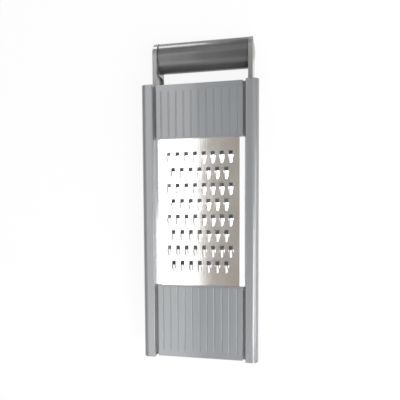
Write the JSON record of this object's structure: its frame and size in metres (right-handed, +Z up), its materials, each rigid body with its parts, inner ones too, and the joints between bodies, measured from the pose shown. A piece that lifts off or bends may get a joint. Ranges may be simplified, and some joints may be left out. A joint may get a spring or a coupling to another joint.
{
  "type": "hand grater",
  "caption": "Deep-sided hand grater with a slide-out steel grating insert between ribbed panels and a fold-in bar handle.",
  "frame": {"origin": "middle of the bounding box in X and Y, at the rims that the grater rests on", "axes": "+Z up out of the grating face, +Y towards the handle end, +X to the right seen from above"},
  "size_m": [0.11, 0.3056, 0.0434],
  "materials": {
    "frame_plastic": "satin",
    "panel_plastic": "satin",
    "arm_plastic": "satin",
    "grip_plastic": "gloss",
    "plate_steel": "polished",
    "small_steel": "satin",
    "washer_plastic": "satin"
  },
  "bodies": {
    "frame": {"left_rail": "frame_plastic", "right_rail": "frame_plastic", "upper_crossbar": "frame_plastic", "lower_crossbar": "frame_plastic", "crossbar_screws": "small_steel", "pivot_pins": "small_steel", "pivot_clips": "small_steel"},
    "insert": {"insert_carrier": "panel_plastic", "upper_panel": "panel_plastic", "lower_panel": "panel_plastic", "grating_plate": "plate_steel", "panel_screws": "small_steel"},
    "handle": {"left_arm": "arm_plastic", "right_arm": "arm_plastic", "grip_sleeve": "grip_plastic", "grip_rod": "small_steel", "grip_screws": "small_steel", "grip_caps": "arm_plastic", "pivot_washers": "washer_plastic"}
  },
  "joints": [
    {"name": "insert_slide", "type": "slide", "parent": "frame", "child": "insert", "axis": [0, 1, 0], "range_m": [0, 0.25]},
    {"name": "handle_fold", "type": "hinge", "parent": "frame", "child": "handle", "pos_m": [0, 0.0952, 0.0134], "axis": [-1, 0, 0], "range_deg": [0, 180]}
  ]
}
